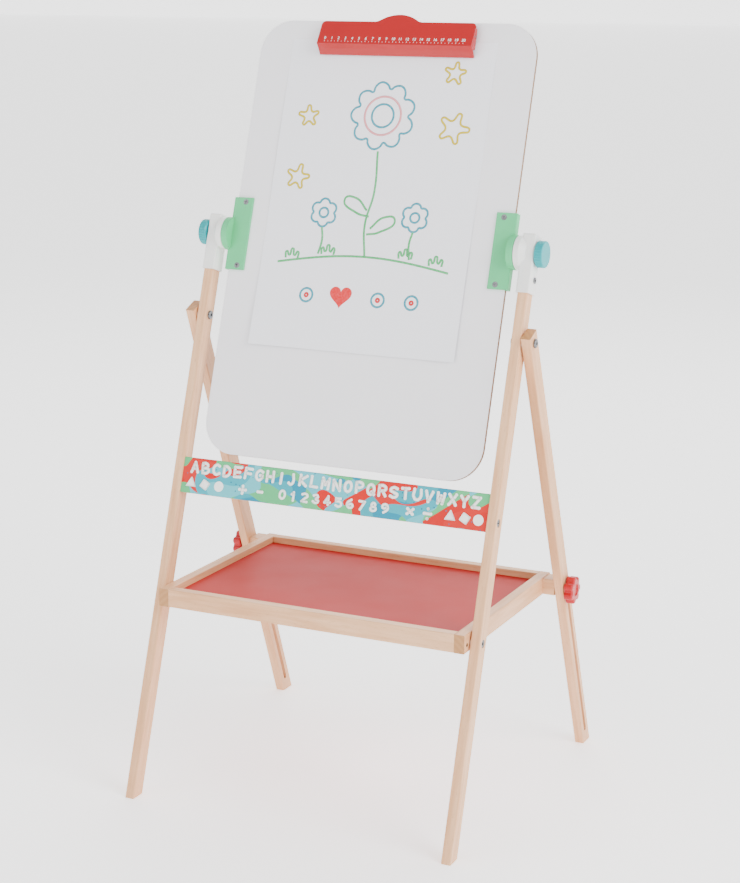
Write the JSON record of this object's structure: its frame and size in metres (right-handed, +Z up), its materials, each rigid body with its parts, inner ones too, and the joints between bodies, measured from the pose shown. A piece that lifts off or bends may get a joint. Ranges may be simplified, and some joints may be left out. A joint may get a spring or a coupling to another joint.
{
  "type": "kids easel",
  "caption": "Free-standing wooden kids easel with a tilting whiteboard and chalkboard panel, paper clip, alphabet rail, fold-down tray and splayed rear legs.",
  "frame": {"origin": "on the floor, midway between the front and rear feet and between the left and right sides", "axes": "+Z up; -Y is the front, where the whiteboard faces; X runs across"},
  "size_m": [0.5234, 0.4856, 1.0215],
  "materials": {
    "beech_wood": "sanded and clear lacquered beech",
    "alphabet_print": "satin printed face on a painted fibreboard rail",
    "tray_panel_red": "satin red paint on hardboard",
    "white_plastic": "moulded white ABS, fine satin",
    "green_plastic": "moulded mint green ABS",
    "turquoise_plastic": "moulded turquoise ABS",
    "red_plastic": "moulded red ABS",
    "zinc_steel": "zinc plated",
    "brass_insert": "turned",
    "nylon_washer": "natural nylon",
    "fibreboard": "sawn and sealed fibreboard edge",
    "whiteboard_enamel": "gloss white enamelled steel sheet",
    "chalkboard_paint": "matt black chalkboard paint on steel sheet",
    "drawing_paper": "smooth drawing paper",
    "spring_steel": "drawn wire",
    "white_print": "screen-printed white ink",
    "pen_ink": "felt-pen ink in several colours"
  },
  "bodies": {
    "front_frame": {"front_leg_left": "beech_wood", "front_leg_right": "beech_wood", "alphabet_rail": "alphabet_print", "rail_screws": "zinc_steel", "rail_dowels": "beech_wood", "leg_cap_left": "white_plastic", "leg_cap_right": "white_plastic", "cap_screws": "zinc_steel", "leg_pivot_bolts": "zinc_steel", "leg_pivot_nuts": "zinc_steel", "leg_pivot_washers": "nylon_washer", "tray_pivot_bolts": "zinc_steel", "tray_pivot_washers": "nylon_washer"},
    "rear_leg_left": {"rear_leg_left": "beech_wood"},
    "rear_leg_right": {"rear_leg_right": "beech_wood"},
    "tray": {"tray_front_rail": "beech_wood", "tray_rear_rail": "beech_wood", "tray_side_rail_left": "beech_wood", "tray_side_rail_right": "beech_wood", "tray_panel": "tray_panel_red", "spacer_block_left": "beech_wood", "spacer_block_right": "beech_wood", "tray_inserts": "brass_insert", "tray_corner_screws": "zinc_steel", "tray_corner_dowels": "beech_wood", "slide_bolts": "zinc_steel", "slide_washers": "nylon_washer"},
    "star_knob_left": {"star_knob_left": "red_plastic", "star_knob_insert_left": "brass_insert"},
    "star_knob_right": {"star_knob_right": "red_plastic", "star_knob_insert_right": "brass_insert"},
    "board": {"board_core": "fibreboard", "whiteboard_sheet": "whiteboard_enamel", "chalkboard_sheet": "chalkboard_paint", "board_bracket_left": "green_plastic", "board_bracket_right": "green_plastic", "bracket_screws": "zinc_steel", "bracket_nuts": "zinc_steel", "tilt_bolts": "zinc_steel", "clip_base": "red_plastic", "clip_screws": "zinc_steel", "clip_pin": "zinc_steel", "clip_springs": "spring_steel", "drawing_sheet": "drawing_paper"},
    "tilt_knob_left": {"tilt_knob_left": "turquoise_plastic", "tilt_knob_insert_left": "brass_insert"},
    "tilt_knob_right": {"tilt_knob_right": "turquoise_plastic", "tilt_knob_insert_right": "brass_insert"},
    "clip_lever": {"clip_lever": "red_plastic"}
  },
  "joints": [
    {"name": "tray_fold", "type": "hinge", "parent": "front_frame", "child": "tray", "pos_m": [0, -0.15048, 0.2561], "axis": [-1, 0, 0], "range_deg": [0, 101.5]},
    {"name": "rear_leg_left_fold", "type": "hinge", "parent": "front_frame", "child": "rear_leg_left", "pos_m": [0, -0.03621, 0.61852], "axis": [-1, 0, 0], "range_deg": [0, 38.51]},
    {"name": "rear_leg_right_fold", "type": "hinge", "parent": "front_frame", "child": "rear_leg_right", "pos_m": [0, -0.03621, 0.61852], "axis": [-1, 0, 0], "range_deg": [0, 38.51]},
    {"name": "board_tilt", "type": "hinge", "parent": "front_frame", "child": "board", "pos_m": [0, -0.00208, 0.72676], "axis": [1, 0, 0], "continuous": true},
    {"name": "tilt_knob_left_turn", "type": "hinge", "parent": "board", "child": "tilt_knob_left", "pos_m": [0, -0.00208, 0.72676], "axis": [1, 0, 0], "range_deg": [0, 270]},
    {"name": "tilt_knob_right_turn", "type": "hinge", "parent": "board", "child": "tilt_knob_right", "pos_m": [0, -0.00208, 0.72676], "axis": [-1, 0, 0], "range_deg": [0, 270]},
    {"name": "star_knob_left_turn", "type": "hinge", "parent": "tray", "child": "star_knob_left", "pos_m": [0, 0.11912, 0.2561], "axis": [1, 0, 0], "range_deg": [0, 270]},
    {"name": "star_knob_right_turn", "type": "hinge", "parent": "tray", "child": "star_knob_right", "pos_m": [0, 0.11912, 0.2561], "axis": [-1, 0, 0], "range_deg": [0, 270]},
    {"name": "clip_open", "type": "hinge", "parent": "board", "child": "clip_lever", "pos_m": [0, 0.07208, 0.99487], "axis": [-1, 0, 0], "range_deg": [0, 12], "stiffness_Nm_per_rad": 0.3, "springref_deg": -25.78}
  ],
  "couplings": [
    {"joint": "rear_leg_left_fold", "follows": "tray_fold", "ratio": 0.37646},
    {"joint": "rear_leg_right_fold", "follows": "tray_fold", "ratio": 0.37646}
  ]
}
